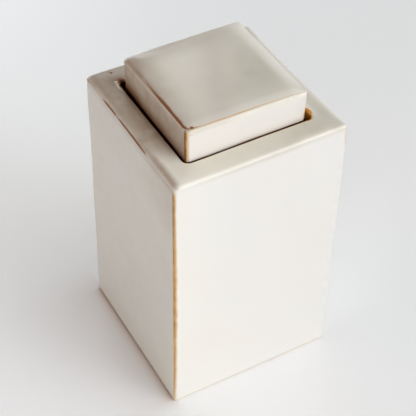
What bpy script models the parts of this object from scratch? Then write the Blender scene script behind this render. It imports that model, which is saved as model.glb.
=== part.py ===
"""Square lidded jar in glazed stoneware: the jar, and the hollow lid that sits down in its mouth.

Metres, +Z up. The origin is the centre of the jar's underside, on the surface that it stands on.
"""

import math

import bmesh
import bpy

# The jar's outside, whose walls lean in a little towards the shoulder
JAR_WIDTH = 0.100
JAR_HEIGHT = 0.164
WALL_LEAN = 0.0005
UPRIGHT_RADIUS = 0.0014
SHOULDER_RADIUS = 0.0019
FOOT_EDGE_RADIUS = 0.0009

# The jar's walls and inside
WALL_THICKNESS = 0.0058
FLOOR_THICKNESS = 0.0070
INSIDE_RADIUS = 0.0045
FOOT_RIM_WIDTH = 0.0100
FOOT_RECESS_DEPTH = 0.0012
FOOT_RECESS_CORNER = 0.0040

# The mouth: a square recess with a ledge at its bottom, which the lid stands on
MOUTH_WIDTH = 0.0732
MOUTH_DEPTH = 0.0076
MOUTH_CORNER = 0.0026
LEDGE_WIDTH = 0.0058
LEDGE_THICKNESS = 0.0056
THROAT_CORNER = 0.0030

# The lid, a square block that is hollow from below, and how far from the middle of its play it rests
LID_GAP = 0.0020
LID_SEAT_GAP = 0.0003
LID_RISE = 0.0178
LID_WALL = 0.0056
LID_TOP_THICKNESS = 0.0062
LID_UPRIGHT_RADIUS = 0.0017
LID_TOP_RADIUS = 0.0018
LID_FOOT_RADIUS = 0.0008
LID_HOLLOW_RADIUS = 0.0036
LID_CROWN_HEIGHT = 0.0009
LID_CROWN_BORDER = 0.0150
LID_REST_X = -0.0007
LID_REST_Y = -0.0007

# Sharp edges that the glaze softens: the mouth, the throat and the foot
ARRIS_RADIUS = 0.0007

# How finely round edges are drawn
ROUND_STEPS = 5
ARRIS_STEPS = 3
CROWN_STEPS = 4
SHARP_ANGLE = math.radians(50)
SMOOTH_ANGLE = math.radians(35)

# How far a cutter reaches past the face that it opens
CUT_PAST = 0.004

# The glaze: warm white, greyer on the lid where it lies thicker
JAR_COLOUR = (0.86, 0.83, 0.77)
LID_COLOUR = (0.78, 0.74, 0.66)
GLAZE_ROUGHNESS = 0.18

# What follows from the sizes above
LEDGE_TOP = JAR_HEIGHT - MOUTH_DEPTH
LEDGE_UNDERSIDE = LEDGE_TOP - LEDGE_THICKNESS
THROAT_WIDTH = MOUTH_WIDTH - 2 * LEDGE_WIDTH
LID_WIDTH = MOUTH_WIDTH - 2 * LID_GAP
LID_BOTTOM = LEDGE_TOP + LID_SEAT_GAP
LID_EDGE_HEIGHT = JAR_HEIGHT + LID_RISE - LID_BOTTOM
LID_HOLLOW_HEIGHT = LID_EDGE_HEIGHT - LID_TOP_THICKNESS


def clear_scene():
    for old in list(bpy.data.objects):
        bpy.data.objects.remove(old, do_unlink=True)


def new_collection(name):
    collection = bpy.data.collections.new(name)
    bpy.context.scene.collection.children.link(collection)
    return collection


def glaze(name, colour):
    """A glossy glazed ceramic."""
    material = bpy.data.materials.new(name)
    material.use_nodes = True
    shader = material.node_tree.nodes["Principled BSDF"]
    shader.inputs["Base Color"].default_value = (*colour, 1.0)
    shader.inputs["Roughness"].default_value = GLAZE_ROUGHNESS
    shader.inputs["Metallic"].default_value = 0.0
    material.diffuse_color = (*colour, 1.0)
    return material


def outer_width(height):
    """The jar's outside width at a height."""
    return JAR_WIDTH - 2 * WALL_LEAN * height / JAR_HEIGHT


def square_block(name, collection, bottom, top, width, top_width=None):
    """A block of square plan between two heights, centred on Z, with its own width at the top."""
    spread = (top_width or width) / width
    mesh = bpy.data.meshes.new(name)
    block = bmesh.new()
    bmesh.ops.create_cube(block, size=1.0)
    bmesh.ops.scale(block, vec=(width, width, top - bottom), verts=block.verts)
    bmesh.ops.translate(block, vec=(0, 0, (top + bottom) / 2), verts=block.verts)
    upper = [vert for vert in block.verts if vert.co.z > (top + bottom) / 2]
    bmesh.ops.scale(block, vec=(spread, spread, 1), verts=upper)
    block.to_mesh(mesh)
    block.free()
    made = bpy.data.objects.new(name, mesh)
    collection.objects.link(made)
    return made


def crown_top(block, border, height):
    """Raises the top in rings, steepest at the rim and level in the middle."""
    mesh = bmesh.new()
    mesh.from_mesh(block.data)
    top = max(mesh.faces, key=lambda face: face.calc_center_median().z)
    turn = math.pi / 2 / CROWN_STEPS
    for ring in range(CROWN_STEPS):
        rise = height * (math.sin(turn * (ring + 1)) - math.sin(turn * ring))
        bmesh.ops.inset_individual(mesh, faces=[top], thickness=border / CROWN_STEPS)
        bmesh.ops.translate(mesh, vec=(0, 0, rise), verts=top.verts)
    mesh.to_mesh(block.data)
    mesh.free()


def round_edges(block, upright, top, bottom):
    """Rounds a block's sharp edges: the four uprights, the rim of the top and the rim of the bottom."""
    widest = max(upright, top, bottom)
    mesh = bmesh.new()
    mesh.from_mesh(block.data)
    weight = mesh.edges.layers.float.new("bevel_weight_edge")
    heights = [vert.co.z for vert in mesh.verts]
    middle = (max(heights) + min(heights)) / 2
    for edge in mesh.edges:
        if edge.calc_face_angle() < SHARP_ANGLE:
            continue
        ends = sorted(vert.co.z for vert in edge.verts)
        if ends[0] > middle:
            edge[weight] = top / widest
        elif ends[1] < middle:
            edge[weight] = bottom / widest
        else:
            edge[weight] = upright / widest
    mesh.to_mesh(block.data)
    mesh.free()
    rounding = block.modifiers.new("rounding", "BEVEL")
    rounding.limit_method = "WEIGHT"
    rounding.width = widest
    rounding.segments = ROUND_STEPS


def cut(target, cutter):
    """Takes the cutter's shape out of the target."""
    cutter.hide_render = True
    cutter.display_type = "WIRE"
    boolean = target.modifiers.new("cut_" + cutter.name, "BOOLEAN")
    boolean.operation = "DIFFERENCE"
    boolean.solver = "EXACT"
    boolean.object = cutter


def soften_arrises(target):
    """Rounds the sharp edges that the cuts left."""
    arris = target.modifiers.new("arris", "BEVEL")
    arris.limit_method = "ANGLE"
    arris.angle_limit = SHARP_ANGLE
    arris.width = ARRIS_RADIUS
    arris.segments = ARRIS_STEPS


def finish(target, material):
    target.data.materials.append(material)
    target.data.shade_smooth()
    target.data.set_sharp_from_angle(angle=SMOOTH_ANGLE)


def make_jar(parts, cutters):
    """The jar: four walls, a floor and a thick shoulder, fired as one piece."""
    jar = square_block("jar_body", parts, 0, JAR_HEIGHT, outer_width(0), outer_width(JAR_HEIGHT))
    round_edges(jar, UPRIGHT_RADIUS, SHOULDER_RADIUS, FOOT_EDGE_RADIUS)

    inside_base = outer_width(FLOOR_THICKNESS) - 2 * WALL_THICKNESS
    inside_top = outer_width(LEDGE_UNDERSIDE) - 2 * WALL_THICKNESS
    inside = square_block("inside", cutters, FLOOR_THICKNESS, LEDGE_UNDERSIDE, inside_base, inside_top)
    round_edges(inside, INSIDE_RADIUS, INSIDE_RADIUS, INSIDE_RADIUS)
    cut(jar, inside)

    throat_bottom = LEDGE_UNDERSIDE - CUT_PAST
    throat = square_block("throat", cutters, throat_bottom, LEDGE_TOP + CUT_PAST, THROAT_WIDTH)
    round_edges(throat, THROAT_CORNER, 0, 0)
    cut(jar, throat)

    mouth = square_block("mouth", cutters, LEDGE_TOP, JAR_HEIGHT + CUT_PAST, MOUTH_WIDTH)
    round_edges(mouth, MOUTH_CORNER, 0, 0)
    cut(jar, mouth)

    foot_width = JAR_WIDTH - 2 * FOOT_RIM_WIDTH
    foot = square_block("foot_recess", cutters, -CUT_PAST, FOOT_RECESS_DEPTH, foot_width)
    round_edges(foot, FOOT_RECESS_CORNER, 0, 0)
    cut(jar, foot)

    soften_arrises(jar)
    finish(jar, glaze("jar_glaze", JAR_COLOUR))


def make_lid(parts, cutters):
    """The lid: a block, hollow from below, whose rim stands on the ledge. Its origin is at its seat."""
    lid = square_block("lid", parts, 0, LID_EDGE_HEIGHT, LID_WIDTH)
    crown_top(lid, LID_CROWN_BORDER, LID_CROWN_HEIGHT)
    round_edges(lid, LID_UPRIGHT_RADIUS, LID_TOP_RADIUS, LID_FOOT_RADIUS)
    lid.location = (LID_REST_X, LID_REST_Y, LID_BOTTOM)

    hollow_width = LID_WIDTH - 2 * LID_WALL
    hollow = square_block("lid_hollow", cutters, -CUT_PAST, LID_HOLLOW_HEIGHT, hollow_width)
    round_edges(hollow, LID_HOLLOW_RADIUS, LID_HOLLOW_RADIUS, 0)
    hollow.parent = lid
    cut(lid, hollow)

    soften_arrises(lid)
    finish(lid, glaze("lid_glaze", LID_COLOUR))


def main():
    clear_scene()
    parts = new_collection("lidded_jar")
    cutters = new_collection("cutters")
    make_jar(parts, cutters)
    make_lid(parts, cutters)


main()
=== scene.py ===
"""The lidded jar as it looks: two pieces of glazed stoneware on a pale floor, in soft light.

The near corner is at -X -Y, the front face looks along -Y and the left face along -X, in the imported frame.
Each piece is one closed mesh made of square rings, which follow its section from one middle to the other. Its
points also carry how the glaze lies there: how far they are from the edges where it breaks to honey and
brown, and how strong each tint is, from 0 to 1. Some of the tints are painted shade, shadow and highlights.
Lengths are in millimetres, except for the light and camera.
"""

import math

import bpy
import numpy as np
from mathutils import Matrix, Vector, noise


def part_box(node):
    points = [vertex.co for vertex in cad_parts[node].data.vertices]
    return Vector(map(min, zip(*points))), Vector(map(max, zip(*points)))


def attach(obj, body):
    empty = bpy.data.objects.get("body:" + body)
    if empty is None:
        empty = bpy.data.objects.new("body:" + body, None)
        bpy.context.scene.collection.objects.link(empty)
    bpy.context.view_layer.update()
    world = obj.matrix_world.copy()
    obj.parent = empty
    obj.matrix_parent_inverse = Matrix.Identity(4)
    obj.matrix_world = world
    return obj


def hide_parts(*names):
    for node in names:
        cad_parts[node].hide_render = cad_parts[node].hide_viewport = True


MM = 0.001

# The jar. Its outside comes from the frame, and these are the sizes that a box can't give.
WALL = 5.8
FLOOR = 7.0
INSIDE_ROUND = 4.5
WALL_LEAN = 0.5
FOOT_ROUND = 1.0
FOOT_RIM = 10.0
FOOT_RECESS = 1.2
RECESS_CORNER = 4.0
MOUTH_CORNERS = ((36.3, 36.15), (36.6, 36.08), (36.6, 36.6), (36.35, 36.6))
MOUTH_DEPTH = 7.6
MOUTH_CORNER = ((0, 3.5), (0.1, 2.6), (3.9, 2.6), (4, 3.5))
MOUTH_ROUND = 1.1
LEDGE_WIDTH = 5.8
LEDGE_THICKNESS = 5.6
THROAT_CORNER = 3.0
ARRIS = 0.6

# The lid, whose top stays a little below its highest point
LID_WALL = 5.6
LID_TOP = 6.2
LID_CROWN = 0.9
LID_HOLLOW_ROUND = 3.6
LID_FOOT_ROUND = 0.8
LID_SINK = 0.08

# The rings: points on each corner's arc and along each side, how much closer these stand near the corners,
# how much of a lap an arc takes, rings in a round edge and in the border inside it, how far up from the jar's
# foot and down from its top the wall has its own rings, and the first and last ring's reach and corner radius
ARC_STEPS = 8
SIDE_STEPS = 46
SIDE_CROWDING = 0.11
ARC_LAP = 0.02
ROUND_STEPS = 8
BORDER_STEPS = 9
LOW_WALL = 8
HIGH_WALL = 14
END_RING = (0.5, 0.3)

# How far from an edge its wear can reach, how far past the top edge the corners' wear goes, and how the slope
# of a border eases off inwards
REACH = 6.0
UPRIGHTS_PAST_TOP = 1.5
BORDER_EASE = 1.4

# What varies along an edge goes by lap: 0 is the near corner, 1 the right, 2 the back, 3 the left. The shape
# of a top edge: the radius of its corners on the wall below and there, how far its round goes in and down,
# how wide the border inside it is and how far that slopes down.
JAR_EDGE = {
    "upright": ((0, 1.6), (0.5, 1.0), (1, 0.7), (2, 1.2), (3, 1.5), (4, 1.6)),
    "corner": ((0, 2.8), (0.5, 2.0), (1, 1.5), (2, 2.2), (3, 3.4), (3.5, 2.5), (4, 2.8)),
    "over": ((0, 2.5), (0.4, 2.0), (0.95, 2.0), (1.05, 2.8), (1.6, 2.6), (2, 1.2), (2.9, 1.2), (3, 1.5),
             (3.3, 1.8), (3.7, 1.9), (4, 2.5)),
    "down": ((0, 2.2), (0.4, 1.9), (0.95, 1.7), (1.05, 1.9), (1.6, 1.7), (2, 1.2), (2.9, 1.2), (3, 1.5),
             (3.3, 1.8), (4, 2.2)),
    "border": ((0, 4.5), (1, 4.5), (2, 5.0), (3, 4.0), (4, 4.5)),
    "slope": ((0, 0.45), (0.5, 0.45), (1, 0.3), (2, 0.1), (2.9, 0.1), (3, 0.2), (3.5, 0.3), (4, 0.45)),
}
LID_EDGE = {
    "upright": ((0, 1.6), (0.5, 1.8), (0.9, 2.2), (1, 3.6), (1.1, 2.6), (2, 2.2), (3, 2.4), (4, 1.6)),
    "corner": ((0, 1.6), (0.5, 1.6), (1, 1.7), (2, 2.2), (3, 3.0), (3.5, 2.0), (4, 1.6)),
    "over": ((0, 1.8), (0.5, 2.0), (0.95, 1.6), (1.1, 1.4), (1.9, 1.6), (2.2, 2.0), (2.8, 2.2), (3, 3.0),
             (3.3, 2.3), (3.8, 2.0), (4, 1.8)),
    "down": ((0, 1.3), (0.5, 1.5), (0.95, 1.4), (1.1, 1.3), (1.9, 1.4), (2.2, 1.5), (3, 2.2), (3.4, 1.8),
             (4, 1.3)),
    "border": ((0, 5.0), (0.5, 5.5), (1, 5.0), (1.5, 5.5), (2, 6.0), (2.4, 9.0), (3, 9.0), (3.5, 7.5),
               (4, 5.0)),
    "slope": ((0, 0.6), (0.5, 0.7), (0.9, 0.8), (1.1, 1.4), (1.7, 1.5), (2, 0.9), (2.5, 0.8), (3, 1.3),
              (3.4, 1.0), (4, 0.6)),
}
LID_FOOT_CORNER = ((0, 1.8), (0.9, 1.8), (1, 4.2), (1.1, 1.8), (2.9, 1.8), (3, 4.6), (3.1, 1.8), (4, 1.8))
LEVEL = ((0, 0.0),)
EDGE_PARTS = ("corner", "over", "down", "border", "slope")

# How far the jar's top stands above its even height, by X along the front, how much of that is left by Y, and
# how far below the top it starts and is whole
JAR_LIFT = ((-50, 0.0), (-25, 0.1), (0, 0.5), (30, 0.95), (50, 1.1))
JAR_LIFT_BACK = ((-50, 1.0), (-25, 0.6), (10, 0.0))
JAR_LIFT_STARTS = 5.5
JAR_LIFT_WHOLE = 1.0

# The waves that a surface sinks in: their size, depth and seed. They start at a height and grow from there,
# the lid's above its foot.
JAR_WAVES = ((45, 0.35, 3), (14, 0.08, 8))
LID_WAVES = ((24, 0.2, 5), (9, 0.06, 9))
JAR_WAVES_START = 1.2
LID_WAVES_START = 1.0
WAVES_GROW = 6.0
WAVE_SEED_SHIFT = (1.0, 1.7, 0.3)

# The lines that the glaze breaks in along the rims, by lap: how worn, from 0 to 1 and more, how wide the line
# is on the side that the rings come from and on the side that they go to, and how far it is shifted that way
SHOULDER_LINE = {
    "wear": ((0, 0.0), (0.5, 0.0), (0.95, 0.02), (1, 0.1), (1.2, 0.1), (1.9, 0.2), (2.2, 0.2), (2.6, 0.3),
             (2.9, 0.2), (2.97, 0.5), (3.03, 0.5), (3.07, 0.15), (3.1, 0.1), (3.2, 0.15), (3.22, 1.1),
             (3.28, 1.6), (3.35, 1.1), (3.362, 0.08), (3.38, 0.08), (3.4, 1.2), (3.5, 1.4), (3.6, 1.5),
             (3.66, 1.4), (3.685, 0.8), (3.71, 0.1), (3.8, 0.0), (4, 0.0)),
    "from": ((0, 1.2),),
    "to": ((0, 1.3), (2, 1.2), (3.2, 1.4), (3.7, 1.4), (4, 1.3)),
}
MOUTH_LINE = {
    "wear": ((0, 0.1), (0.05, 0.4), (0.3, 0.35), (0.6, 0.35), (0.9, 0.5), (0.95, 0.6), (1.1, 0.6), (1.2, 0.2),
             (1.5, 0.4), (2, 0.8), (2.5, 0.6), (3, 0.9), (3.1, 0.8), (3.5, 0.75), (3.77, 0.7), (3.87, 0.35),
             (3.94, 0.05), (4, 0.1)),
    "from": ((0, 1.6), (0.3, 1.2), (0.9, 1.4), (1.1, 1.8), (2.9, 1.6), (3.0, 1.6), (3.9, 1.4), (4, 1.6)),
    "to": ((0, 1.5),),
}
# Along the left the foot's line is heaviest, and its dark brown there is partly painted contact shade
FOOT_LINE = {
    "wear": ((0, 0.4), (0.1, 0.3), (1, 0.3), (2, 0.5), (3, 1.1), (3.5, 1.1), (3.95, 0.9), (4, 0.4)),
    "from": ((0, 1.0), (2, 1.0), (3, 1.5), (3.95, 1.5), (4, 1.0)),
    "to": ((0, 0.9), (0.9, 0.9), (3, 1.7), (3.95, 1.7), (4, 0.9)),
}
LID_OUTER_LINE = {
    "wear": ((0, 0.3), (0.1, 0.1), (0.5, 0.06), (0.9, 0.06), (1, 0.1), (1.1, 0.05), (3, 0.0), (3.9, 0.0),
             (4, 0.3)),
    "from": ((0, 0.8),),
    "to": ((0, 0.6),),
}
LID_RIM_LINE = {
    "wear": ((0, 0.6), (0.04, 0.5), (0.1, 0.42), (0.35, 0.45), (0.6, 0.4), (0.8, 0.3), (1, 0.12), (1.1, 0.08),
             (2, 0.1), (3.1, 0.1), (3.25, 0.15), (3.35, 0.5), (3.45, 0.7), (3.55, 1.0), (3.65, 1.6),
             (3.9, 1.7), (3.96, 1.3), (4, 0.6)),
    "from": ((0, 0.9), (0.1, 0.7), (0.9, 0.7), (3, 0.9), (3.5, 1.5), (3.9, 1.9), (4, 0.9)),
    "to": ((0, 1.2), (0.1, 0.9), (0.9, 0.9), (1.1, 1.0), (3, 1.2), (3.4, 1.7), (3.8, 1.5), (3.9, 1.8),
           (4, 1.2)),
    "shift": ((0, 1.1), (0.06, 0.9), (0.12, 0.45), (0.9, 0.45), (1, 0.2), (2.9, 0.0), (3.1, -0.2),
              (3.95, -0.1), (4, 1.1)),
}

# The lines up the corners, by height: how worn, and how far the line stands off the middle of the corner,
# anticlockwise. Then how wide it is on its clockwise and on its anticlockwise side.
JAR_UPRIGHTS = (
    {"wear": ((0, 0.3), (9, 0.35), (20, 0.5), (40, 0.6), (66, 0.68), (100, 0.68), (135, 0.72), (152, 0.75),
              (158, 0.6), (161.5, 0.1), (164, 0.0)),
     "middle": ((0, -0.6), (20, -0.5), (35, -0.4), (66, -0.35), (100, -0.5), (113, -0.7), (130, -1.0),
                (148, -1.3), (164, -1.3)),
     "widths": (1.4, 3.1)},
    {"wear": ((0, 0.0), (150, 0.05), (155, 0.6), (161, 0.6), (164, 0.1)), "middle": LEVEL,
     "widths": (1.5, 1.5)},
    {"wear": ((0, 0.5), (50, 0.6), (110, 0.5), (155, 0.6), (164, 0.1)),
     "middle": ((0, 0.3), (80, -0.3), (164, 0.2)), "widths": (1.8, 2.6)},
    {"wear": ((0, 0.2), (60, 0.2), (120, 0.15), (155, 0.2), (164, 0.1)), "middle": LEVEL,
     "widths": (1.6, 1.6)},
)
LID_UPRIGHTS = (
    {"wear": ((156, 1.0), (175, 0.95), (181, 1.1)), "middle": ((0, -1.5),), "widths": (1.2, 3.1)},
    {"wear": ((156, 0.3), (171, 0.25), (174, 0.1), (182, 0.1)), "middle": ((0, -1.0),),
     "widths": (1.3, 1.6)},
    {"wear": ((156, 0.5), (182, 0.4)), "middle": LEVEL, "widths": (1.6, 1.6)},
    {"wear": LEVEL, "middle": LEVEL, "widths": (1.6, 1.6)},
)

# The marks that steer the glaze, among them painted shade, shadow and highlights, built up in layers. A layer
# is laid over what is there so far, so that the stronger shows, or is added to it, or cuts it down. It has a
# strength
# and where it lies: a face, or a place with two values that a smooth step goes between, with a table of
# values, with a soft line's middle and width, or with what it is under or over. jar_places and lid_places say
# what the faces and places are.
# How much darker the whole left face is: by Y, and a factor by height
JAR_EVEN = (
    ("y", (-50, 0.04), (-38, 0.06), (-15, 0.07)),
    ("z", (0, 1.2), (20, 1.1), (60, 1)),
)
JAR_MARKS = {
    # Lighter glaze: on the top towards the near corner and on all but its left side; painted light on the
    # front towards its left end and low down; and painted light bounced from the floor, low on the left face
    # by the near corner
    "light": (
        ("lay", 1.0, "top", ("x+y", 20, -60)),
        ("lay", 1.0, "top", ("x", -36, -20)),
        ("lay", 0.4, "front", ("x", -10, -60)),
        ("lay", 0.3, "front", ("z", 110, 0), ("x", 30, -40)),
        ("lay", 1.0, "left", ("y", -20, -60),
         ("z", (0, 1.0), (10, 0.9), (40, 0.4), (90, 0.0))),
    ),
    "mauve": (),
    # Thick glaze on the shoulder at the front and right, and in the dip under it, and a darker tint all over
    # the left face
    "pool": (
        ("lay", 1.0, "top", ("y", -25, -38),
         ("x", (-38, 0.05), (-15, 0.32), (0, 0.45), (30, 0.8), (46, 0.5))),
        ("cut", 0.75, ("y", -44.5, -48.5), ("x", 14, 28)),
        ("lay", 1.0, "top", ("x", 38, 42),
         ("y", (-45, 0.45), (-35, 0.8), (-26, 0.6), (0, 0.5))),
        ("cut", 0.8, ("x", 44.5, 48.5)),
        ("lay", 1.0, ("lifted rise", "line", -2.4, 1.5), ("y", -48, -49.3),
         ("x", (-46, 0.1), (-20, 0.5), (0, 0.7), (14, 0.8), (30, 0.45), (48, 0.4))),
        ("lay", 2.0, "left", *JAR_EVEN),
    ),
    # Darker, browner glaze colour. Beside the mouth on the left it is the lid's painted shadow, and on the
    # left border painted shade of the rolled edge, running into the lid's painted shadow. It is also darker
    # along the front and the
    # back of the top, and on the left face: painted shade under its edge, darker in its upper part and all
    # over, and darker by the near corner, more so higher up.
    "wash": (
        ("lay", 1.0, "top", ("x", -34.5, -37.5),
         ("y", (-33, 0), (-28, 0.2), (-24, 0.48), (-20, 0.76), (-12, 0.97), (42, 0.97), (48, 0.8))),
        ("cut", 0.22, ("x", "line", -48.3, 0.8), ("y", -22, -16)),
        ("lay", 1.0, "top", ("x", -44.2, -47.5),
         ("y", (-49, 0.5), (-46, 1), (-34, 1), (-28, 0.88), (-20, 1), (-10, 0.95), (4, 0.5),
          (14, 0))),
        ("lay", 0.35, "top", ("y", -36.5, -44), ("x", (-40, 0), (0, 0.06), (45, 0.2))),
        ("lay", 1.0, "top", ("y", 34, 38),
         ("x", (-50, 0.95), (-30, 0.8), (0, 0.5), (45, 0.4))),
        ("lay", 1.0, "left", ("z", 153, 162),
         ("y", (-50, 0.3), (-46, 0.85), (-26, 0.72), (-14, 0.5), (45, 0.45))),
        ("lay", 1.0, "left", ("z", 112, 153),
         ("y", (-50, 0.42), (-44, 0.4), (-30, 0.3), (-15, 0.17), (40, 0.19))),
        ("lay", 1.0, "left", *JAR_EVEN),
        ("lay", 0.4, "left", ("y", "line", -50, 1.6), ("z", (30, 0.2), (60, 0.5), (110, 1))),
    ),
    # Brown stains, and some painted shade: round the mouth on the left, at its left corner, a dark line of
    # painted shade along the left border by the near corner, a brown line along it further back, a brown line
    # under the left edge, and along the left foot by the near corner, where it is partly painted contact
    # shade
    "stain_and_shade": (
        ("lay", 0.6, "top", ("x", "under", -33), ("x", -41.0, -36.3),
         ("y", (-31, 0), (-27, 0.25), (-21, 0.95), (-18, 1), (38, 1), (40, 0))),
        ("lay", 0.95, "top", ("x", "line", -35.3, 4.5), ("y", "line", 38.0, 3.5), ("rise", "line", 0, 4)),
        ("lay", 0.25, "top", ("x", "line", -47.8, 0.8),
         ("y", (-48, 0.6), (-43, 1), (-34, 1), (-28, 0.1), (-22, 0))),
        ("lay", 0.25, "top", ("x", "line", -46.5, 1.4),
         ("y", (10, 0), (18, 0.8), (28, 1.1), (42, 1), (47, 0.5))),
        ("lay", 0.5, "left", ("rise", "line", -1.6, 0.7),
         ("y", (-24, 0), (-17, 1), (21, 1), (28, 0.4))),
        ("lay", 0.85, "left", ("z", 1.5, 0.6), ("y", -49.5, -44)),
    ),
    # Painted highlights: along the right border by the front, and a glint beside the mouth near its near
    # corner
    "pale": (
        ("lay", 0.55, "top", ("x", 44.5, 48.5), ("y", -48, -40)),
        ("lay", 0.6, ("x", "line", -38.2, 2.4), ("y", "line", -34.0, 4), ("rise", "line", 0, 3)),
    ),
    # Where the lines are umber instead of honey: on the left side, where their darker brown is partly painted
    # shade
    "umber": (("lay", 1.0, ("x", -33, -35.5), ("y", -49, -46)),),
    # Down in the gap, near-black painted shade that fades to brown glaze further down: on the mouth's wall
    # and ledge, and at its back left corner
    "gap_dark": (
        ("lay", 1.0, ("half", "under", 36.9), ("burn rise", -0.9, -1.9),
         ("rise", -14.5, -12.5), ("rise", (-7, 0.4), (-4, 1))),
        ("lay", 0.8, ("x", "line", -34.6, 1.7), ("y", "line", 36.9, 1.7), ("rise", "line", -0.5, 3)),
    ),
    "bare": (("lay", 1.0, ("z", FOOT_RECESS + 0.4, FOOT_RECESS), ("beyond wall", "under", -1.1)),),
}
LID_MARKS = {
    "light": (("lay", 1.0, "top"), ("cut", 0.5, ("x", 30, 34))),
    # A drift across the top, and its back left part
    "mauve": (
        ("lay", 0.4, "top", ("drift", "line", 0, 9)),
        ("add", 0.25, "top", ("y", 20, 28), ("x", 22, -4)),
    ),
    # Pools on the top at the right, at the front and along the back, and a darker band on the roll above the
    # front
    "pool": (
        ("lay", 0.72, "top", ("x", "line", 21, 13), ("y", "line", -2, 26), ("rise", "line", 0, 40),
         ("x", 28.5, 24)),
        ("add", 0.5, "top", ("x", "line", 5, 20), ("y", "line", -18, 13), ("rise", "line", 0, 40),
         ("x", 28.5, 24)),
        ("add", 0.4, "top", ("y", 14, 27), ("x", 29, 20)),
        ("lay", 0.6, ("rise", "line", -1.7, 0.8), ("y", -33.6, -34.6),
         ("off middle", 33, 26)),
    ),
    # Darker and browner: the top's left and back borders, the left face, where it is partly painted shade,
    # and the front's foot and right end
    "wash": (
        ("lay", 1.0, "top",
         ("x", (-34, 0.8), (-32, 0.7), (-28.5, 0.47), (-24, 0.26), (-19, 0.07), (-12, 0)),
         ("y", (-34, 0.55), (-25, 0.85), (0, 1.0), (14, 1.2), (25, 1.4), (32, 1.8))),
        ("lay", 0.75, "top", ("y", 27, 33), ("x", 14, -26)),
        ("lay", 1.0, "left",
         ("z", (166, 1), (173, 0.95), (178, 0.86), (180, 0.74), (181, 0.78), (182, 0.9))),
        ("lay", 1.0, "front", ("z", 168.5, 165.2),
         ("x", (-34, 0.0), (-8, 0.05), (0, 0.12), (20, 0.18), (31, 0.25))),
        ("lay", 0.08, "front", ("x", 24, 31)),
    ),
    # Painted shade on the left face just above the gap, fading upwards, and a brown line along the top's left
    # edge
    "stain_and_shade": (
        ("lay", 1.0, "left", ("soot", (0, 0), (1, 1)),
         ("y", (-33, 0.6), (0, 0.75), (20, 1.0))),
        ("lay", 1.0, "top", ("from left", "line", 1.3, 1.1),
         ("y", (-34, 0.3), (-10, 0.6), (4, 0.75), (16, 0.75), (22, 0.5), (30, 0.45))),
    ),
    # A painted highlight along the top's right border
    "pale": (
        ("lay", 1.0, "top", ("x", (27, 0), (30.2, 0.55), (32.5, 1)),
         ("y", (-34, 0.2), (-28, 0.5), (-18, 1), (34, 1))),
    ),
    # Umber lines on the left side, where their darker brown is partly painted shade
    "umber": (("lay", 1.0, ("x", -26, -30), ("y", -34.5, -33)),),
    # Near-black painted shade, fading to brown further down, on the wall in the mouth
    "gap_dark": (
        ("lay", 1.0, ("beyond wall", "over", -LID_WALL / 2), ("burn rise", -0.75, -1.65),
         ("jar rise", (-7, 0.4), (-4, 1))),
    ),
    "bare": (("lay", 1.0, ("above foot", 0.5, 0)),),
}

# Where the marks of a face fade in, from none to whole: by height from the piece's top, and by how far out
JAR_TOP_FADES = (-3, -1)
JAR_WALL_AT = (49, 49.3)
LID_TOP_FADES = (-4, -2.2)
LID_LEFT_AT, LID_LEFT_FADES = (33.2, 34.8), (-0.3, -1.8)
LID_FRONT_AT, LID_FRONT_FADES = (34, 35), (-0.5, -2.5)

# Where the jar's painted shade in the gap starts lower: how much, its place and its reach along X, Y and Z
LOW_GAP_DARK, LOW_GAP_DARK_PLACE, LOW_GAP_DARK_REACH = 6.5, (36.0, -33, 160), (4, 7, 14)

# The painted shade on the lid's wall in the gap stands higher on the left, by Y. The painted shade above the
# gap fades up to a height that rises at the back, and the lid's mauve drift crosses the top aslant.
LID_GAP_DARK_LEFT = (33, 35)
LID_GAP_DARK_RAISE = ((-32, 0), (-20, 0.6), (0, 0.8), (14, 1.2), (30, 1.9))
SHADE_OVER_GAP_FULL, SHADE_OVER_GAP_TOP, SHADE_OVER_GAP_TOP_RISE, SHADE_OVER_GAP_TOP_BACK = 165.3, 172, 3, (5, 28)
DRIFT_SLANT = 0.44

# Colours, linear
CREAM = (0.775, 0.745, 0.69)
CREAM_COOL = (0.755, 0.74, 0.70)
CREAM_WARM = (0.785, 0.73, 0.65)
LID_CREAM = (0.77, 0.72, 0.65)
PALE = (0.95, 0.905, 0.82)
TAN = (0.75, 0.59, 0.39)
HONEY = (0.64, 0.36, 0.13)
AMBER = (0.70, 0.29, 0.045)
UMBER_TAN = (0.47, 0.37, 0.28)
UMBER = (0.33, 0.185, 0.10)
BROWN = (0.22, 0.08, 0.028)
# Near black, the painted shade down in the gap
GAP_DARK = (0.016, 0.007, 0.004)
CLAY = (0.36, 0.24, 0.15)
GROG = (0.252, 0.168, 0.105)
# Some tints stand in for light: the wash and stain tints carry painted shade and the lid's painted shadow in
# places, the pale tint painted highlights, and the light tint some painted light
TINTS = {
    "light": (0.86, 0.81, 0.70),
    "mauve": (0.60, 0.50, 0.45),
    "pool": (0.60, 0.56, 0.46),
    "wash": (0.44, 0.35, 0.27),
    "stain_and_shade": (0.24, 0.12, 0.055),
    "pale": PALE,
}
FLOOR_COLOUR = (0.80, 0.80, 0.80)
FLOOR_SEEN = (0.98, 0.98, 0.98)

# Painted shade on the floor beside the left wall: a wide warm tint for the light bounced off the wall, and a
# narrow brown one for the contact shade at its foot. Each has a colour, how far out it fades, and how far
# past the wall's near and far end it goes. They fade in over a few mm at the wall.
FLOOR_PAINTED_SHADES = (((0.90, 0.86, 0.85), 30, 8, 24), ((0.70, 0.56, 0.46), 2.5, 0, 0))
WALL_END = 50
TINT_STARTS = (-47, -49)

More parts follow.
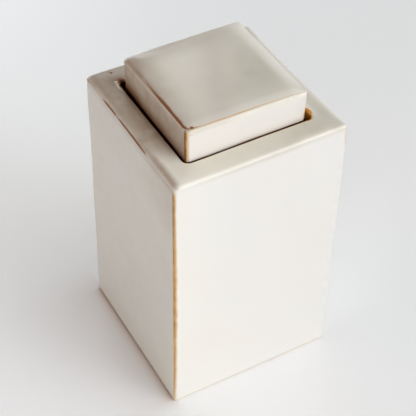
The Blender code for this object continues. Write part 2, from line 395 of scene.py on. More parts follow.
# Noises: size, detail and seed. Clouds are noise with the step that its values go through. Lines and patches
# bring their own seeds.
CLOUD = ((60.0, 2.0, 1.0), (0.35, 0.65))
VEIL = ((38.0, 2.0, 7.0), (0.4, 0.7))
CLOUD_SHARE, VEIL_SHARE = 0.4, 0.5
STREAKS = ((8.0, 4.0, 13.0), (0.3, 0.7, 0.85, 1.1))
CLAY_GROG = ((0.9, 3.0, 31.0), (0.45, 0.65))
GLOSS_CLOUDS = ((14.0, 3.0, 41.0), (0.3, 0.7, 0.17, 0.24))
BURN_MOTTLE = ((1.6, 3.0, 73.0), (0.35, 0.65, 0.6, 1.3))
DIMPLES = (7.0, 2.0, 51.0)
CLAY_GRAIN = (0.6, 2.0, 61.0)
RIM_SEED, UPRIGHT_SEED, BURN_SEED, DRIP_SEED = 11.0, 23.0, 71.0, 83.0
LINE_WANDER, LINE_WANDER_REACH = (5.0, 2.0), 0.4
LINE_CLOUDS, LINE_CLOUDS_STEP, LINE_CLOUDS_SEED = (9.0, 3.0), (0.25, 0.75, 0.8, 1.15), 3.0
RAGGED, RAGGED_SHIFT, RAGGED_MIDDLE = (3.0, 3.0), 2.6, 1.3
PATCH_FADES = (1.25, 0.45)

# How worn or burnt amber the glaze is, and how dark in the gap, where a colour starts and where it is whole.
# The gap's near black is painted shade.
TAN_STEP, HONEY_STEP, LINE_BROWN_STEP = (0.02, 0.3), (0.18, 0.5), (0.5, 0.9)
AMBER_STEP, MOTTLE_STEP = (0.1, 0.5), (0.5, 1.0)
GAP_DARK_BROWN_STEP, GAP_DARK_STEP = (0.0, 0.35), (0.2, 0.9)

# How much duller worn glaze is, how rough clay is, where worn glaze mirrors less, and how much less brown
# glaze and the painted shade in the gap do. How far a bump stands out, and its parts: dimples, pinholes, worn
# lines, drips and clay.
WORN_DULLS = 0.12
DULL_STEP = (0.3, 0.8)
CLAY_ROUGHNESS = 0.8
GLAZE_IOR = 1.52
SPECULAR, BROWN_DULLS, GAP_DARK_DULLS = 0.5, 0.3, 0.48
BUMP, BUMP_HEIGHT = 0.5, 0.15
BUMP_DIMPLES, BUMP_PINHOLES, BUMP_WORN, BUMP_DRIPS, BUMP_CLAY = 0.5, -0.6, -0.3, 1.5, 0.8

# Pinholes have a place and a radius. Scattered ones stand a spacing apart, have a size in spacings, and few
# of them are chosen. Patches have a place, their reach along X, Y and Z, and a strength.
PINHOLE_SPACING = 14.0
PINHOLE_SIZE = 0.035
PINHOLE_CHOSEN = (0.975, 0.976)
PINHOLE_CORE = 0.35
JAR_PINHOLES = (
    ((-36.4, 45.4, 164.0), 1.1),
    ((-37.3, 46.6, 164.0), 0.6),
    ((-26.0, -50.0, 118.0), 0.35),
    ((50.0, 12.0, 96.0), 0.5),
)
LID_PINHOLES = (((-31.1, -32.8, 182.0), 1.25), ((-9.0, 9.0, 182.7), 0.45), ((-35.3, -20.0, 168.0), 0.4))
JAR_BURNS = (
    ((37.1, -30.7, 165.0), (2.0, 3.7, 2.0), 0.75),
    ((33.8, -36.2, 164.6), (2.6, 1.3, 2.4), 0.75),
    ((36.6, -31.5, 161.0), (1.8, 6.5, 5.0), 0.57),
    ((-35.4, 36.8, 163.4), (1.8, 1.6, 4.0), 1.3),
    ((-36.7, 33.4, 163.0), (0.9, 3.0, 2.6), 1.2),
)
LID_BURNS = (((-31.2, -32.6, 182.0), (1.6, 1.3, 2.0), 0.35),)
# Pale drips of thick glaze at the mouth's back left corner, whose whiteness is partly a painted highlight
JAR_DRIPS = (
    ((-37.6, 37.4, 164.0), (1.5, 0.8, 2.0), 0.75),
    ((-38.3, 33.4, 164.0), (0.8, 4.0, 2.0), 0.7),
    ((-35.6, 30.9, 164.0), (0.5, 0.6, 1.0), 1.0),
)
LID_DRIPS = ()

# The light, in metres. Lamps: name, elevation and azimuth in degrees, watts, colour. Bright parts of the
# room: elevation, azimuth, brightness. Azimuth goes from +X towards +Y.
FLOOR_REACH = 4.0
FLOOR_ROUGHNESS = 0.5
LAMP_AIM = (0.0, 0.0, 0.05)
LAMP_DISTANCE = 1.3
LAMP_SIZE = 0.9
LAMPS = (
    ("fill_front_left", 12, 240, 6.55, (1.0, 1.0, 1.0)),
    ("fill_back_left", 12, 150, 3.65, (1.15, 0.98, 0.87)),
    ("fill_back", 12, 90, 5.25, (0.9, 1.02, 1.08)),
)
ROOM_PATCHES = ((8, 300, (5.05, 5.25, 5.80)), (50, 315, (1.48, 1.55, 1.46)), (78, 0, (2.30, 2.20, 2.20)))
ROOM_FOCUS = 14.0
ROOM_BACKGROUND = 0.9

# The camera stands where the photograph was taken from
CAMERA_PLACE = (-0.23904, -0.40701, 0.54108)
CAMERA_RIGHT = (0.87240, -0.48848, 0.01763)
CAMERA_FORWARD = (0.36278, 0.62289, -0.69310)
CAMERA_LENS = 101.65
CAMERA_CLIP = (0.01, 50)
SENSOR_WIDTH = 36.0


def side_share(step):
    """How far along a side a point lies. They stand closer near the corners, where the glaze breaks."""
    even = step / SIDE_STEPS
    return even - SIDE_CROWDING * np.sin(2 * math.pi * even)


def ring_layout():
    """The lap and the outward direction of each point of a ring, anticlockwise from the near corner."""
    laps, turns = [], []
    for corner in range(4):
        for step in range(ARC_STEPS + 1):
            laps.append(corner + (step / ARC_STEPS - 0.5) * ARC_LAP)
            turns.append(math.radians(180 + 90 * corner + 90 * step / ARC_STEPS))
        for step in range(1, SIDE_STEPS):
            laps.append(corner + ARC_LAP / 2 + (1 - ARC_LAP) * side_share(step))
            turns.append(math.radians(270 + 90 * corner))
    return np.array(laps) % 4, np.stack([np.cos(turns), np.sin(turns)], 1)


LAPS, OUTWARD = ring_layout()
POINTS = len(LAPS)
PER_CORNER = ARC_STEPS + SIDE_STEPS
SIGNS = np.repeat([(-1, -1), (1, -1), (1, 1), (-1, 1)], PER_CORNER, axis=0)
NEAREST = np.round(LAPS).astype(int) % 4


def by_lap(table):
    """Values for the points of a ring, from a table of lap and value."""
    return between(LAPS, *table)


def between(value, *table):
    """A value read off a short table of places and values."""
    return np.interp(value, *zip(*table))


def step_up(value, low, high):
    """A smooth step from 0 to 1 as the value goes from low to high."""
    share = np.clip((value - low) / (high - low), 0, 1)
    return share * share * (3 - 2 * share)


def soft_line(value, middle, width):
    """1 at the middle, fading to 0 beyond the width."""
    return np.exp(-((value - middle) / width) ** 2)


def spot(points, place, reach):
    """1 at a place, fading to 0 beyond its reach along X, Y and Z."""
    return soft_line(points, place, reach).prod(axis=1)


SHAPES = {"line": soft_line, "under": np.less, "over": np.greater}
WAYS = {"lay": np.maximum, "add": np.add, "cut": lambda so_far, layer: so_far * (1 - layer)}


def shaped(value, *shape):
    """A value itself, or what a step, a table or a named shape makes of it."""
    if not shape:
        return value
    if isinstance(shape[0], str):
        return SHAPES[shape[0]](value, *shape[1:])
    return between(value, *shape) if isinstance(shape[0], tuple) else step_up(value, *shape)


def lay_marks(marks, places):
    """The strength of each mark at each point, built up layer by layer."""
    laid = {}
    for mark, layers in marks.items():
        so_far = np.zeros(len(places["x"]))
        for way, strength, *limits in layers:
            layer = np.full(len(so_far), strength)
            for limit in limits:
                place, *shape = (limit,) if isinstance(limit, str) else limit
                layer = layer * shaped(places[place], *shape)
            so_far = WAYS[way](so_far, layer)
        laid[mark] = np.clip(so_far, 0, 1)
    return laid


def ring(reach, corner, z, inset=0.0):
    """A square ring with round corners, moved in by inset. It reaches as far as its reach says, which is one
    number, or X and Y for each corner. The rest may vary along it."""
    reach = np.repeat(np.zeros((4, 2)) + reach, PER_CORNER, axis=0)
    inset = (inset + np.zeros(POINTS))[:, None]
    corner = (corner + np.zeros(POINTS))[:, None]
    xy = SIGNS * (reach - inset - corner) + corner * OUTWARD
    share = side_share(np.arange(1, SIDE_STEPS))
    for side in range(4):
        along, across = side % 2, 1 - side % 2
        start = side * PER_CORNER + ARC_STEPS
        end = (start + SIDE_STEPS) % POINTS
        here = np.arange(start + 1, start + SIDE_STEPS)
        xy[here, along] = xy[start, along] * (1 - share) + xy[end, along] * share
        out = reach[start, across] * (1 - share) + reach[end, across] * share
        xy[here, across] = OUTWARD[here, across] * (out - inset[here, 0])
    return np.column_stack([xy, z + np.zeros(POINTS)])


def from_upright(points):
    """Signed way round the ring from the middle of the nearest corner's arc, and no further than REACH."""
    ahead = np.linalg.norm(np.roll(points, -1, axis=0) - points, axis=1)
    walked = np.concatenate([[0], np.cumsum(ahead)])
    out = np.full(POINTS, REACH)
    for corner in range(4):
        middle = walked[corner * PER_CORNER + ARC_STEPS // 2]
        for whole_way in (-walked[-1], 0, walked[-1]):
            here = walked[:-1] - middle + whole_way
            out = np.where(np.abs(here) < np.abs(out), here, out)
    return out


def fade(distance):
    """1 near an edge and 0 from REACH on, so that no wear shows between two edges."""
    return np.clip((REACH - np.abs(distance)) / (REACH / 2), 0, 1)


class Walk:
    """The rings of a piece, set one after another along its section, and the worn edges among them."""

    def __init__(self, start):
        self.rings, self.walked, self.edges = [start], [np.zeros(POINTS)], []
        self.outside_from = 0

    def add(self, points):
        self.walked.append(self.walked[-1] + np.linalg.norm(points - self.rings[-1], axis=1))
        self.rings.append(points)

    def wear(self, line):
        """The ring set last is an edge where the glaze breaks in a line, which may be shifted onwards."""
        place = self.walked[-1] + by_lap(line.get("shift", LEVEL))
        self.edges.append((place, *(by_lap(line[part]) for part in ("wear", "from", "to"))))

    def line(self, end, steps):
        """Even steps to a ring."""
        start = self.rings[-1]
        for step in range(1, steps + 1):
            self.add(start + (end - start) * step / steps)

    def turn(self, end, upright_first, worn=None):
        """A quarter of an ellipse to a ring, which sets out upright or level. Its middle may be worn."""
        start = self.rings[-1]
        for step in range(1, ROUND_STEPS + 1):
            angle = math.pi / 2 * step / ROUND_STEPS
            early, late = math.sin(angle), 1 - math.cos(angle)
            across, up = (late, early) if upright_first else (early, late)
            self.add(start + (end - start) * (across, across, up))
            if worn and step == ROUND_STEPS // 2:
                self.wear(worn)

    def roll_over(self, reach, top, shape, wall_steps, worn):
        """Up the wall, over a round that varies by lap, and up the border that slopes to the level top. worn
        has the lines of worn steps in the round."""
        corner, over, down, border, drop = (by_lap(shape[part]) for part in EDGE_PARTS)
        last = np.arctan2(down * border, over * drop * BORDER_EASE)
        foot = top - drop - down * np.sin(last)
        wall_corner = (corner + by_lap(shape["upright"])) / 2
        self.line(ring(reach, wall_corner, foot), wall_steps)
        for step in range(1, ROUND_STEPS + 1):
            share = step / ROUND_STEPS
            inset, z = over * (1 - np.cos(last * share)), foot + down * np.sin(last * share)
            self.add(ring(reach, wall_corner + (corner - wall_corner) * share, z, inset))
            if step in worn:
                self.wear(worn[step])
        for step in range(1, BORDER_STEPS + 1):
            share = step / BORDER_STEPS
            rise = drop * (1 - (1 - share) ** BORDER_EASE)
            self.add(ring(reach, corner, top - drop + rise, inset + border * share))

    def rim_marks(self, row):
        """How far the points of a ring are from the nearest worn edge, in widths of its line, and how worn
        they are."""
        away, wear, nearest = np.full(POINTS, REACH), np.zeros(POINTS), np.full(POINTS, REACH)
        for place, edge_wear, before, after in self.edges:
            here = self.walked[row] - place
            closer = np.abs(here) < nearest
            nearest = np.where(closer, np.abs(here), nearest)
            away = np.where(closer, here / np.where(here < 0, before, after), away)
            wear = np.where(closer, edge_wear * fade(here), wear)
        return away, wear

    def upright_marks(self, row, uprights, top_edge):
        """The same for the line up the nearest corner. It ends past the top edge, which is that number among
        the worn edges."""
        away, wear = np.zeros(POINTS), np.zeros(POINTS)
        if row < self.outside_from:
            return away, wear
        z, round_ring = self.rings[row][:, 2], from_upright(self.rings[row])
        past_top = (self.walked[row] - self.edges[top_edge][0]) / UPRIGHTS_PAST_TOP
        for corner, line in enumerate(uprights):
            here = NEAREST == corner
            off = round_ring - between(z, *line["middle"])
            off = off / np.where(off < 0, *line["widths"])
            away[here] = off[here]
            wear[here] = (between(z, *line["wear"]) * np.clip(1 - past_top, 0, 1) * fade(round_ring))[here]
        return away, wear

    def marks(self, uprights, top_edge):
        """The marks of wear for all points, by name."""
        rows = range(len(self.rings))
        rims = [self.rim_marks(row) for row in rows]
        corners = [self.upright_marks(row, uprights, top_edge) for row in rows]
        values = (*zip(*rims), *zip(*corners))
        return dict(zip(("rim", "rim_wear", "upright", "upright_wear"), values))


def new_object(name, data):
    """A new object in the scene."""
    made = bpy.data.objects.new(name, data)
    bpy.context.scene.collection.objects.link(made)
    return made


def close_mesh(name, rings, marks):
    """One closed mesh from a list of rings, with the values of its marks at each point."""
    points = np.concatenate(rings)
    faces = [tuple(reversed(range(POINTS)))]
    for row in range(len(rings) - 1):
        low, high = row * POINTS, (row + 1) * POINTS
        for here in range(POINTS):
            after = (here + 1) % POINTS
            faces.append((low + here, low + after, high + after, high + here))
    faces.append(tuple(range(len(points) - POINTS, len(points))))
    mesh = bpy.data.meshes.new(name)
    mesh.from_pydata((points * MM).tolist(), [], faces)
    mesh.shade_smooth()
    for mark, values in marks.items():
        layer = mesh.attributes.new(mark, "FLOAT", "POINT")
        layer.data.foreach_set("value", np.ravel(values).astype(np.float32))
    return new_object(name, mesh)


def sink_unevenly(piece, waves, start):
    """Sinks the surface a little in slow waves, as on a hand-built wall, from a height on."""
    mesh = piece.data
    count = len(mesh.vertices)
    place, out = np.zeros(count * 3, np.float32), np.zeros(count * 3, np.float32)
    mesh.vertices.foreach_get("co", place)
    mesh.vertices.foreach_get("normal", out)
    place, out = place.reshape(-1, 3), out.reshape(-1, 3)
    depth = np.zeros(count)
    for size, amount, seed in waves:
        shift = Vector([part * seed for part in WAVE_SEED_SHIFT])
        rise = np.array([noise.noise(Vector(point) / (size * MM) + shift) for point in place])
        depth += amount * MM * np.clip(0.5 + rise, 0, 1)
    grown = np.clip((place[:, 2] / MM - start) / WAVES_GROW, 0, 1)
    place -= out * (depth * grown)[:, None]
    mesh.vertices.foreach_set("co", place.ravel())
    mesh.update()


def jar_half(z):
    """Half the jar's outside width at a height."""
    return JAR_HALF - WALL_LEAN * z / JAR_TOP


def jar_lift(x, y):
    """How far the jar's top stands above its even height at a place."""
    return between(x, *JAR_LIFT) * between(y, *JAR_LIFT_BACK)


def walk_jar():
    """Round the jar: underside, foot, wall, shoulder, mouth, ledge, throat and inside."""
    foot_in = JAR_HALF - FOOT_RIM
    upright = by_lap(JAR_EDGE["upright"])
    mouth, round_mouth = np.array(MOUTH_CORNERS), by_lap(MOUTH_CORNER)
    ledge = JAR_TOP - MOUTH_DEPTH
    under = ledge - LEDGE_THICKNESS
    throat = mouth - LEDGE_WIDTH
    inside_top, inside_base = jar_half(under) - WALL, jar_half(FLOOR) - WALL
    high = JAR_TOP - HIGH_WALL

    walk = Walk(ring(*END_RING, FOOT_RECESS))
    walk.line(ring(foot_in - ARRIS, RECESS_CORNER, FOOT_RECESS), steps=8)
    walk.turn(ring(foot_in, RECESS_CORNER, FOOT_RECESS - ARRIS), False)
    walk.turn(ring(foot_in + ARRIS, RECESS_CORNER, 0), True)
    walk.line(ring(JAR_HALF - FOOT_ROUND, upright, 0), steps=9)
    walk.turn(ring(JAR_HALF, upright, FOOT_ROUND), False, FOOT_LINE)
    walk.line(ring(jar_half(LOW_WALL), upright, LOW_WALL), steps=8)
    walk.line(ring(jar_half(high), upright, high), steps=50)
    walk.roll_over(jar_half(JAR_TOP), JAR_TOP, JAR_EDGE, 12, {2: SHOULDER_LINE})
    walk.line(ring(mouth + MOUTH_ROUND, round_mouth + MOUTH_ROUND, JAR_TOP), steps=8)
    walk.turn(ring(mouth, round_mouth, JAR_TOP - MOUTH_ROUND), False, MOUTH_LINE)
    walk.line(ring(mouth, round_mouth, ledge + ARRIS), steps=8)
    walk.turn(ring(mouth - ARRIS, round_mouth, ledge), True)
    walk.line(ring(throat + ARRIS, THROAT_CORNER, ledge), steps=5)
    walk.turn(ring(throat, THROAT_CORNER, ledge - ARRIS), False)
    walk.line(ring(throat, THROAT_CORNER, under + ARRIS), steps=4)
    walk.turn(ring(throat + ARRIS, THROAT_CORNER, under), True)
    walk.line(ring(inside_top - INSIDE_ROUND, INSIDE_ROUND, under), steps=5)
    walk.turn(ring(inside_top, INSIDE_ROUND, under - INSIDE_ROUND), False)
    walk.line(ring(inside_base, INSIDE_ROUND, FLOOR + INSIDE_ROUND), steps=40)
    walk.turn(ring(inside_base - INSIDE_ROUND, INSIDE_ROUND, FLOOR), True)
    walk.line(ring(*END_RING, FLOOR), steps=14)
    for points in walk.rings:
        x, y, z = points.T
        points[:, 2] += jar_lift(x, y) * step_up(z, JAR_TOP - JAR_LIFT_STARTS, JAR_TOP - JAR_LIFT_WHOLE)
    return walk


def walk_lid():
    """Round the lid: ceiling, hollow, foot, wall, rolled edge and top. Its middle is at X and Y 0 here."""
    hollow = LID_HALF - LID_WALL
    ceiling = LID_PEAK - LID_CROWN - LID_TOP
    foot_corner = by_lap(LID_FOOT_CORNER)
    top = LID_PEAK - LID_SINK

    walk = Walk(ring(*END_RING, ceiling))
    walk.line(ring(hollow - LID_HOLLOW_ROUND, LID_HOLLOW_ROUND, ceiling), steps=10)
    walk.turn(ring(hollow, LID_HOLLOW_ROUND, ceiling - LID_HOLLOW_ROUND), False)
    walk.line(ring(hollow, LID_HOLLOW_ROUND, LID_FOOT + ARRIS), steps=8)
    walk.turn(ring(hollow + ARRIS, LID_HOLLOW_ROUND, LID_FOOT), True)
    walk.line(ring(LID_HALF - LID_FOOT_ROUND, foot_corner, LID_FOOT), steps=5)
    walk.outside_from = len(walk.rings)
    walk.turn(ring(LID_HALF, foot_corner, LID_FOOT + LID_FOOT_ROUND), False)
    walk.roll_over(LID_HALF, top, LID_EDGE, 24, {2: LID_OUTER_LINE, ROUND_STEPS - 1: LID_RIM_LINE})
    walk.line(ring(*END_RING, top), steps=22)
    return walk


def jar_places(points):
    """What the layers of the jar's marks go by: where the points lie, and how much they are on each face."""
    x, y, z = points.T
    rise, half = z - JAR_TOP, np.maximum(np.abs(x), np.abs(y))
    lifted_rise = rise - jar_lift(x, y)
    top = step_up(rise, *JAR_TOP_FADES)
    return {
        "x": x, "y": y, "z": z, "x+y": x + y, "half": half, "beyond wall": half - JAR_HALF,
        "rise": rise, "lifted rise": lifted_rise,
        "burn rise": lifted_rise + LOW_GAP_DARK * spot(points, LOW_GAP_DARK_PLACE, LOW_GAP_DARK_REACH),
        "top": top,
        "left": step_up(-x, *JAR_WALL_AT) * (1 - top),
        "front": step_up(-y, *JAR_WALL_AT) * (1 - top),
    }


def lid_places(points):
    """The same for the lid."""
    x, y, z = points.T
    rise, jar_rise = z - LID_PEAK, z - JAR_TOP
    half = np.maximum(np.abs(x - LID_PLACE[0]), np.abs(y - LID_PLACE[1]))
    raised = step_up(-x, *LID_GAP_DARK_LEFT) * between(y, *LID_GAP_DARK_RAISE)
    shade_over_gap_top = SHADE_OVER_GAP_TOP + SHADE_OVER_GAP_TOP_RISE * step_up(y, *SHADE_OVER_GAP_TOP_BACK)
    return {
        "x": x, "y": y, "z": z, "off middle": np.abs(x), "beyond wall": half - LID_HALF,
        "rise": rise, "jar rise": jar_rise, "above foot": z - LID_FOOT,
        "burn rise": jar_rise - jar_lift(x, y) - raised,
        "drift": x - DRIFT_SLANT * y, "from left": x + LID_HALF - LID_PLACE[0],
        "soot": (shade_over_gap_top - z) / (shade_over_gap_top - SHADE_OVER_GAP_FULL),
        "top": step_up(rise, *LID_TOP_FADES),
        "left": step_up(-x, *LID_LEFT_AT) * step_up(rise, *LID_LEFT_FADES),
        "front": step_up(-y, *LID_FRONT_AT) * step_up(rise, *LID_FRONT_FADES),
    }


class Recipe:
    """The nodes of a material or of the room, written as short formulas."""

    def __init__(self, tree):
        self.tree = tree

    def add(self, kind, **settings):
        node = self.tree.nodes.new(kind)
        for name, value in settings.items():
            setattr(node, name, value)
        return node

    def set(self, node, **inputs):
        """Sets or links sockets by name, or by number after an underline."""
        for name, value in inputs.items():
            socket = node.inputs[int(name[1:])] if name[0] == "_" else node.inputs[name.replace("_", " ")]
            if isinstance(value, bpy.types.NodeSocket):
                self.tree.links.new(value, socket)
            else:
                socket.default_value = value

    def place(self):
        return self.add("ShaderNodeTexCoord").outputs["Object"]

    def mark(self, name):
        return self.add("ShaderNodeAttribute", attribute_name=name).outputs["Fac"]

    def maths(self, operation, first, second=0.0, third=0.0):
        node = self.add("ShaderNodeMath", operation=operation)
        self.set(node, _0=first, _1=second, _2=third)
        return node.outputs[0]

    def times(self, first, second):
        return self.maths("MULTIPLY", first, second)

    def vector(self, operation, first, second, third=(0, 0, 0), out="Vector"):
        node = self.add("ShaderNodeVectorMath", operation=operation)
        self.set(node, _0=first, _1=second, _2=third)
        return node.outputs[out]

    def ramp(self, value, low, high, start=0.0, end=1.0):
        """A smooth step from start to end as the value goes from low to high."""
        node = self.add("ShaderNodeMapRange", interpolation_type="SMOOTHSTEP")
        self.set(node, _0=value, _1=low, _2=high, _3=start, _4=end)
        return node.outputs[0]

    def noise(self, size, detail, seed, out="Fac"):
        node = self.add("ShaderNodeTexNoise", noise_dimensions="4D")
        self.set(node, Vector=self.place(), W=seed, Scale=1 / (size * MM), Detail=detail)
        return node.outputs[out]

    def clouds(self, noise, step):
        """Noise whose values go through a smooth step."""
        return self.ramp(self.noise(*noise), *step)

    def blend(self, share, *colours):
        """A mix of two colours, each three numbers or a socket."""
        node = self.add("ShaderNodeMix", data_type="RGBA")
        first, second = (part if isinstance(part, bpy.types.NodeSocket) else (*part, 1.0) for part in colours)
        self.set(node, _0=share, _6=first, _7=second)
        return node.outputs[2]

    def most(self, values):
        """The largest of some values."""
        largest = 0.0
        for value in values:
            largest = self.maths("MAXIMUM", value, largest)
        return largest


def new_material(name):
    """A new material, its recipe and its shader."""
    material = bpy.data.materials.new(name)
    material.use_nodes = True
    return material, Recipe(material.node_tree), material.node_tree.nodes["Principled BSDF"]


def broken(recipe, edge, seed):
    """How broken the glaze is at a point: most on the edge, in a line of uneven width."""
    uneven = recipe.maths("SUBTRACT", recipe.noise(*LINE_WANDER, seed), 0.5)
    wander = recipe.times(uneven, LINE_WANDER_REACH)
    band = recipe.ramp(recipe.maths("ABSOLUTE", recipe.maths("ADD", recipe.mark(edge), wander)), 1.0, 0.0)
    patchy = recipe.clouds((*LINE_CLOUDS, seed + LINE_CLOUDS_SEED), LINE_CLOUDS_STEP)
    return recipe.times(recipe.times(band, recipe.mark(edge + "_wear")), patchy)


def pinholes(recipe, places):
    """Round specks where bubbles burst in the glaze: some at known places, and a few scattered ones."""
    cells = recipe.add("ShaderNodeTexVoronoi")
    recipe.set(cells, Vector=recipe.place(), Scale=1 / (PINHOLE_SPACING * MM), Randomness=1.0)
    chosen = recipe.ramp(cells.outputs["Color"], *PINHOLE_CHOSEN)
    spots = [recipe.times(chosen, recipe.ramp(cells.outputs["Distance"], PINHOLE_SIZE, PINHOLE_SIZE / 3))]
    for place, radius in places:
        away = recipe.vector("DISTANCE", recipe.place(), Vector(place) * MM, out="Value")
        spots.append(recipe.ramp(away, radius * MM, radius * MM * PINHOLE_CORE))
    return recipe.most(spots)


def patches(recipe, places, seed):
    """Soft patches with ragged outlines, the strongest of them at each point."""
    ragged = recipe.noise(*RAGGED, seed, out="Color")
    ragged = recipe.vector("MULTIPLY_ADD", ragged, (RAGGED_SHIFT * MM,) * 3, recipe.place())
    spots = []
    for place, reach, strength in places:
        shift = -(Vector(place) + Vector((RAGGED_MIDDLE,) * 3))
        near = recipe.vector("MULTIPLY_ADD", ragged, [1 / (size * MM) for size in reach],
                             [part / size for part, size in zip(shift, reach)])
        away = recipe.vector("LENGTH", near, (0, 0, 0), out="Value")
        spots.append(recipe.ramp(away, *PATCH_FADES, 0.0, strength))
    return recipe.most(spots)


def tinted_cream(recipe, cream):
    """The whole glaze: cream, cooler and warmer in clouds, under the tints of its marks, some of them painted
    shade and highlights, laid in streaks.
    """
    streaks = recipe.clouds(*STREAKS)
    colour = recipe.blend(recipe.times(recipe.clouds(*CLOUD), CLOUD_SHARE), cream, CREAM_COOL)
    colour = recipe.blend(recipe.times(recipe.clouds(*VEIL), VEIL_SHARE), colour, CREAM_WARM)
    for mark, tint in TINTS.items():
        colour = recipe.blend(recipe.times(recipe.mark(mark), streaks), colour, tint)
    return colour


def with_lines(recipe, colour, worn):
    """The broken lines: tan, then honey or umber, then brown the more they are worn."""
    umber = recipe.mark("umber")
    colour = recipe.blend(recipe.ramp(worn, *TAN_STEP), colour, recipe.blend(umber, TAN, UMBER_TAN))
    colour = recipe.blend(recipe.ramp(worn, *HONEY_STEP), colour, recipe.blend(umber, HONEY, UMBER))
    return recipe.blend(recipe.ramp(worn, *LINE_BROWN_STEP), colour, BROWN)


def with_spots(recipe, colour, burn, drip, speck):
    """Amber patches, mottled with brown, pale drips and brown pinholes."""
    mottled = recipe.times(burn, recipe.clouds(*BURN_MOTTLE))
    colour = recipe.blend(recipe.ramp(burn, *AMBER_STEP), colour, AMBER)
    colour = recipe.blend(recipe.ramp(mottled, *MOTTLE_STEP), colour, BROWN)
    colour = recipe.blend(drip, colour, PALE)
    return recipe.blend(speck, colour, BROWN)


def with_gap_dark_and_bare(recipe, colour, gap_dark, bare):
    """Brown glaze and near-black painted shade in the gap, and the bare clay with its grog."""
    colour = recipe.blend(recipe.ramp(gap_dark, *GAP_DARK_BROWN_STEP), colour, BROWN)
    colour = recipe.blend(recipe.ramp(gap_dark, *GAP_DARK_STEP), colour, GAP_DARK)
    return recipe.blend(bare, colour, recipe.blend(recipe.clouds(*CLAY_GROG), CLAY, GROG))


def glaze_bump(recipe, bumps):
    """The normal of a surface whose height is a sum of bumps, each with its amount."""
    height = 0.0
    for value, amount in bumps:
        height = recipe.maths("MULTIPLY_ADD", value, amount, height)
    bump = recipe.add("ShaderNodeBump")
    recipe.set(bump, Strength=BUMP, Distance=BUMP_HEIGHT * MM, Height=height)
    return bump.outputs[0]


def glaze(name, cream, holes, burns, drips):
    """Cream glaze, which breaks to honey and brown where it lies thin on an edge, over bare clay."""
    material, recipe, shader = new_material(name)
    worn = recipe.most([broken(recipe, "rim", RIM_SEED), broken(recipe, "upright", UPRIGHT_SEED)])
    burn, drip = patches(recipe, burns, BURN_SEED), patches(recipe, drips, DRIP_SEED)
    speck = pinholes(recipe, holes)
    gap_dark, bare = recipe.mark("gap_dark"), recipe.mark("bare")

    colour = with_lines(recipe, tinted_cream(recipe, cream), worn)
    colour = with_spots(recipe, colour, burn, drip, speck)
    recipe.set(shader, Base_Color=with_gap_dark_and_bare(recipe, colour, gap_dark, bare))

    dulled = recipe.maths("MULTIPLY_ADD", worn, WORN_DULLS, recipe.clouds(*GLOSS_CLOUDS))
    dry = recipe.times(recipe.maths("MAXIMUM", bare, gap_dark), CLAY_ROUGHNESS)
    recipe.set(shader, Roughness=recipe.maths("MAXIMUM", dulled, dry), IOR=GLAZE_IOR)
    brown = recipe.most([recipe.ramp(worn, *DULL_STEP), recipe.ramp(burn, *AMBER_STEP), speck])
    duller = recipe.maths("MAXIMUM", recipe.times(brown, BROWN_DULLS), recipe.times(gap_dark, GAP_DARK_DULLS))
    recipe.set(shader, Specular_IOR_Level=recipe.maths("SUBTRACT", SPECULAR, duller))

    grain = recipe.times(recipe.noise(*CLAY_GRAIN), bare)
    bumps = ((recipe.noise(*DIMPLES), BUMP_DIMPLES), (speck, BUMP_PINHOLES), (worn, BUMP_WORN),
             (drip, BUMP_DRIPS), (grain, BUMP_CLAY))
    recipe.set(shader, Normal=glaze_bump(recipe, bumps))
    return material


def make_piece(name, rings, marks, waves, waves_start, material):
    """A glazed piece: its mesh, sunk in waves, with its marks and material."""
    piece = close_mesh(name, rings, marks)
    sink_unevenly(piece, waves, waves_start)
    piece.data.materials.append(material)
    return piece


def make_jar():
    walk = walk_jar()
    marks = walk.marks(JAR_UPRIGHTS, top_edge=1)
    marks.update(lay_marks(JAR_MARKS, jar_places(np.concatenate(walk.rings))))
    material = glaze("jar_glaze", CREAM, JAR_PINHOLES, JAR_BURNS, JAR_DRIPS)
    jar = make_piece("glazed_jar", walk.rings, marks, JAR_WAVES, JAR_WAVES_START, material)
    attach(jar, "jar")
    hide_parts("jar_body")


def make_lid():
    walk = walk_lid()
    marks = walk.marks(LID_UPRIGHTS, top_edge=0)
    rings = [points + (*LID_PLACE, 0) for points in walk.rings]
    marks.update(lay_marks(LID_MARKS, lid_places(np.concatenate(rings))))
    material = glaze("lid_glaze", LID_CREAM, LID_PINHOLES, LID_BURNS, LID_DRIPS)
    lid = make_piece("glazed_lid", rings, marks, LID_WAVES, LID_FOOT + LID_WAVES_START, material)
    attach(lid, "lid")
    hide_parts("lid")


def seen_straight(recipe):
    """Whether a ray shows what it meets as a picture, straight or in gloss or glass, and whether straight."""
    ray = recipe.add("ShaderNodeLightPath").outputs
    straight = ray["Is Camera Ray"]
    return recipe.most([straight, ray["Is Glossy Ray"], ray["Is Transmission Ray"]]), straight


def beside_jar(recipe, reach, past_near, past_far):
    """1 on the floor along the left wall's foot, where shade is painted, fading away from it over a reach and
    past its ends.
    """
    place = recipe.add("ShaderNodeSeparateXYZ")
    recipe.set(place, Vector=recipe.place())
    x, y = place.outputs["X"], place.outputs["Y"]
    starts, whole = (part * MM for part in TINT_STARTS)
    away = recipe.maths("MAXIMUM", recipe.maths("MULTIPLY_ADD", x, -1 / (reach * MM), -JAR_HALF / reach), 0.0)
    near = recipe.maths("POWER", math.e, recipe.times(away, -1.0))
    near_end = recipe.ramp(y, -(WALL_END + past_near) * MM, starts)
    far_end = recipe.ramp(y, (WALL_END + past_far) * MM, -starts)
    return recipe.times(recipe.times(near, recipe.times(near_end, far_end)), recipe.ramp(x, starts, whole))


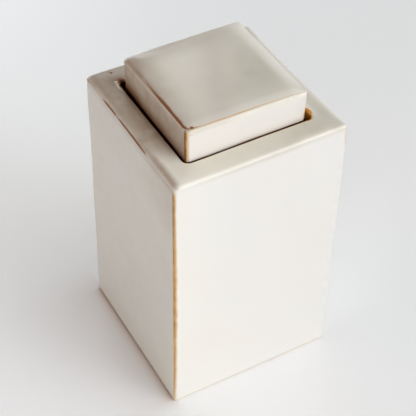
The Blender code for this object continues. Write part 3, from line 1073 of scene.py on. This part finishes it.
def make_floor():
    reach = FLOOR_REACH
    mesh = bpy.data.meshes.new("floor")
    mesh.from_pydata([(-reach, -reach, 0), (reach, -reach, 0), (reach, reach, 0), (-reach, reach, 0)], [],
                     [(0, 1, 2, 3)])
    floor = new_object("floor", mesh)
    material, recipe, shader = new_material("floor_paper")
    seen, _ = seen_straight(recipe)
    shown = FLOOR_SEEN
    # The painted bounce colour and contact shade beside the left wall
    for tint, *where in FLOOR_PAINTED_SHADES:
        shown = recipe.blend(beside_jar(recipe, *where), shown, tint)
    recipe.set(shader, Base_Color=recipe.blend(seen, FLOOR_COLOUR, shown), Roughness=FLOOR_ROUGHNESS)
    floor.data.materials.append(material)


def heading(elevation, azimuth):
    """The direction at an elevation and azimuth in degrees."""
    up, round_z = math.radians(elevation), math.radians(azimuth)
    return Vector((math.cos(up) * math.cos(round_z), math.cos(up) * math.sin(round_z), math.sin(up)))


def soft_lamp(name, elevation, azimuth, power, colour):
    """A large square lamp that faces the jar."""
    lamp = bpy.data.lights.new(name, "AREA")
    lamp.shape, lamp.size, lamp.energy, lamp.color = "SQUARE", LAMP_SIZE, power, colour
    light, away = new_object(name, lamp), heading(elevation, azimuth)
    light.location = Vector(LAMP_AIM) + away * LAMP_DISTANCE
    light.rotation_euler = away.to_track_quat("Z", "Y").to_euler()


def make_room():
    """A room with soft bright patches. What is seen of it, straight or in a reflection, is also pale."""
    world = bpy.data.worlds.new("room")
    world.use_nodes = True
    recipe = Recipe(world.node_tree)
    way = recipe.add("ShaderNodeTexCoord").outputs["Generated"]
    light = (0, 0, 0)
    for elevation, azimuth, brightness in ROOM_PATCHES:
        facing = recipe.vector("DOT_PRODUCT", way, heading(elevation, azimuth), out="Value")
        patch = recipe.maths("POWER", recipe.maths("MAXIMUM", facing, 0.0), ROOM_FOCUS)
        light = recipe.vector("MULTIPLY_ADD", patch, brightness, light)
    seen, straight = seen_straight(recipe)
    light = recipe.vector("MULTIPLY", light, recipe.maths("SUBTRACT", 1.0, straight))
    light = recipe.vector("MULTIPLY_ADD", seen, (ROOM_BACKGROUND,) * 3, light)
    recipe.set(world.node_tree.nodes["Background"], Color=light)
    bpy.context.scene.world = world


def make_lights():
    for lamp in LAMPS:
        soft_lamp(*lamp)
    make_room()


def make_camera():
    right, forward = Vector(CAMERA_RIGHT).normalized(), Vector(CAMERA_FORWARD).normalized()
    up = right.cross(forward).normalized()
    turn = Matrix((right, up, -forward)).transposed()
    lens = bpy.data.cameras.new("camera")
    lens.lens, lens.sensor_width, lens.sensor_fit = CAMERA_LENS, SENSOR_WIDTH, "HORIZONTAL"
    lens.clip_start, lens.clip_end = CAMERA_CLIP
    camera = new_object("camera", lens)
    camera.matrix_world = Matrix.Translation(CAMERA_PLACE) @ turn.to_4x4()
    bpy.context.scene.camera = camera
    bpy.context.scene.view_settings.view_transform = "Standard"


def main():
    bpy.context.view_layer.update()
    make_jar()
    make_lid()
    make_floor()
    make_lights()
    make_camera()


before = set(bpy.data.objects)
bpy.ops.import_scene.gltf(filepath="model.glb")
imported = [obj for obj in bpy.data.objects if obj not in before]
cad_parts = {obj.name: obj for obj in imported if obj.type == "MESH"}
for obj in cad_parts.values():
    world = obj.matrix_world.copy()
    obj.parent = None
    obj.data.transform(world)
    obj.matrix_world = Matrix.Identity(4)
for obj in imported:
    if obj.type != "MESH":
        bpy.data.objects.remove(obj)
JAR_LOW, JAR_HIGH = (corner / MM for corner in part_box("jar_body"))
LID_LOW, LID_HIGH = (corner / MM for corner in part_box("lid"))
JAR_HALF, JAR_TOP = (JAR_HIGH.x - JAR_LOW.x) / 2, JAR_HIGH.z
LID_HALF, LID_FOOT, LID_PEAK = (LID_HIGH.x - LID_LOW.x) / 2, LID_LOW.z, LID_HIGH.z
LID_PLACE = ((LID_HIGH.x + LID_LOW.x) / 2, (LID_HIGH.y + LID_LOW.y) / 2)
main()
